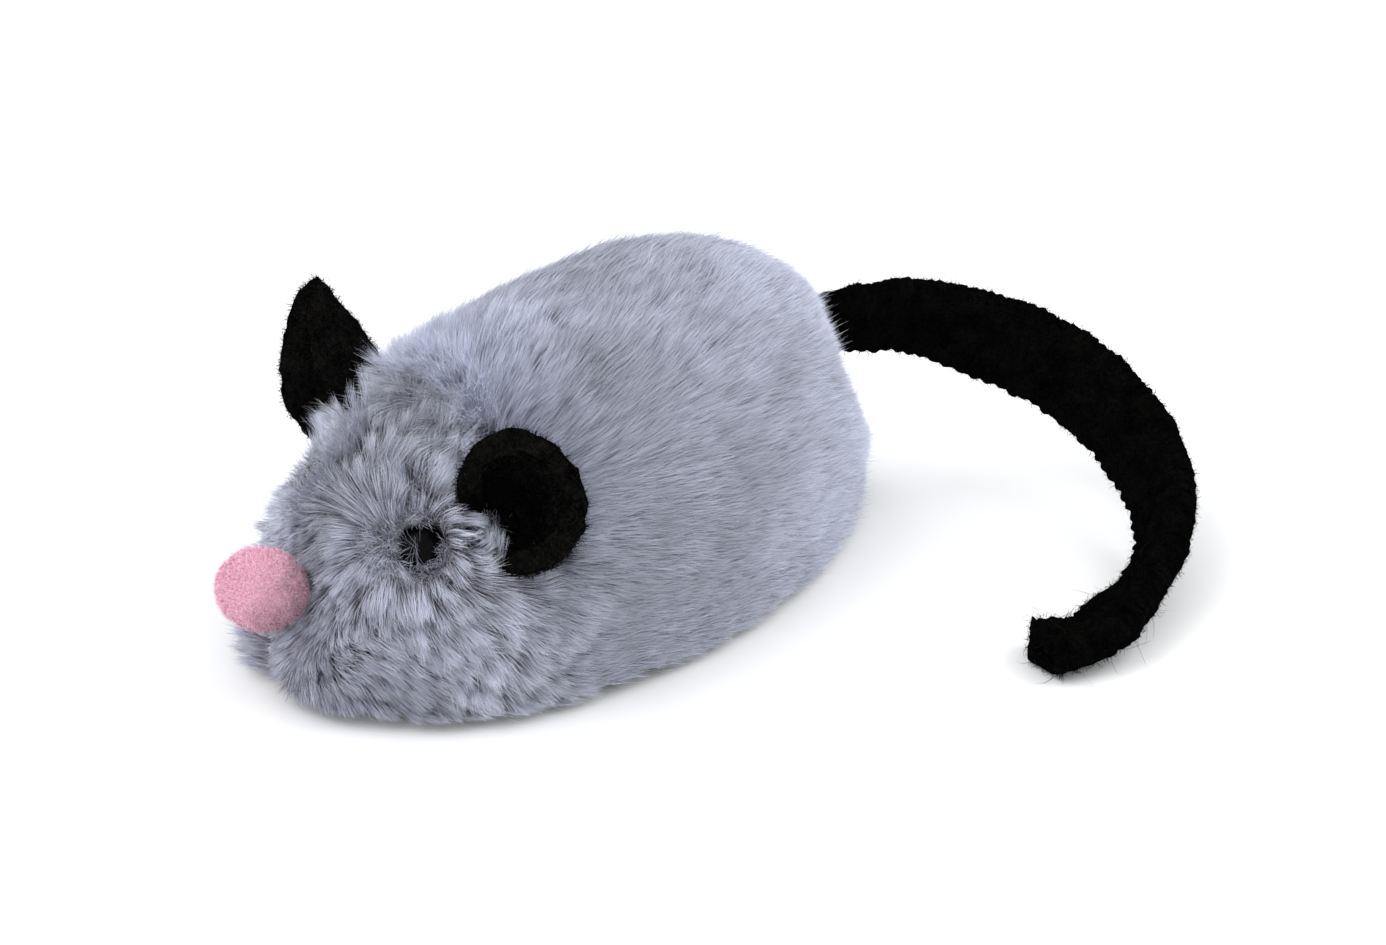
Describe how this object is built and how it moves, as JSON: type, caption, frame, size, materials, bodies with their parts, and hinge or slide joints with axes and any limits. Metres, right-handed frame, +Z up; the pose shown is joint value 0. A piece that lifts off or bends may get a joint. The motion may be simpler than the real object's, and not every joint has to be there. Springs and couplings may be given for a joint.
{
  "type": "pull-back plush mouse cat toy",
  "caption": "Plush mouse for a cat, with black felt ears and a curling felt tail, a pink pompom nose and a pull-back motor that drives hidden wheels.",
  "frame": {"origin": "on the floor, below the middle of the whole toy's box, tail included", "axes": "+Z up, the nose toward -Y, the mouse's left side and the curl of the tail toward +X"},
  "size_m": [0.077, 0.1078, 0.0375],
  "materials": {
    "fur": "long soft plush pile",
    "felt": "thick pilled felt",
    "pompom": "dense short fibre ball",
    "eye": "polished black",
    "shell": "moulded",
    "plate": "moulded",
    "motor": "moulded",
    "gear": "moulded acetal",
    "wheel": "moulded",
    "rubber": "moulded",
    "steel": "bright drawn wire and screws"
  },
  "bodies": {
    "body": {"plush_cover": "fur", "nose_pompom": "pompom", "tail": "felt", "ear_left": "felt", "eye_left": "eye", "eye_washer_left": "motor", "ear_right": "felt", "eye_right": "eye", "eye_washer_right": "motor", "body_shell": "shell", "base_plate": "plate", "case_screw_front": "steel", "case_screw_left": "steel", "case_screw_right": "steel", "motor_case": "motor", "motor_lid": "motor", "lid_screw_front": "steel", "lid_screw_rear": "steel", "clutch_arbor": "steel", "spring_arbor": "steel"},
    "drive_axle": {"rear_axle": "steel", "axle_pinion": "gear", "rear_hub_left": "wheel", "rear_hub_right": "wheel", "rear_tyre_left": "rubber", "rear_tyre_right": "rubber"},
    "front_wheels": {"front_axle": "steel", "front_wheel_left": "wheel", "front_wheel_right": "wheel"},
    "clutch": {"clutch_gear": "gear"},
    "spring": {"spring_wheel": "gear", "mainspring": "steel"}
  },
  "joints": [
    {"name": "drive_axle_spin", "type": "hinge", "parent": "body", "child": "drive_axle", "pos_m": [-0.0112, 0.00169, 0.0079], "axis": [1, 0, 0], "continuous": true},
    {"name": "front_axle_spin", "type": "hinge", "parent": "body", "child": "front_wheels", "pos_m": [-0.0112, -0.03031, 0.00543], "axis": [1, 0, 0], "continuous": true},
    {"name": "clutch_spin", "type": "hinge", "parent": "body", "child": "clutch", "pos_m": [-0.0112, -0.00456, 0.01437], "axis": [1, 0, 0], "continuous": true},
    {"name": "spring_spin", "type": "hinge", "parent": "body", "child": "spring", "pos_m": [-0.0112, -0.01406, 0.01437], "axis": [1, 0, 0], "continuous": true}
  ],
  "couplings": [
    {"joint": "clutch_spin", "follows": "drive_axle_spin", "ratio": -0.38462},
    {"joint": "spring_spin", "follows": "drive_axle_spin", "ratio": 0.13736}
  ]
}
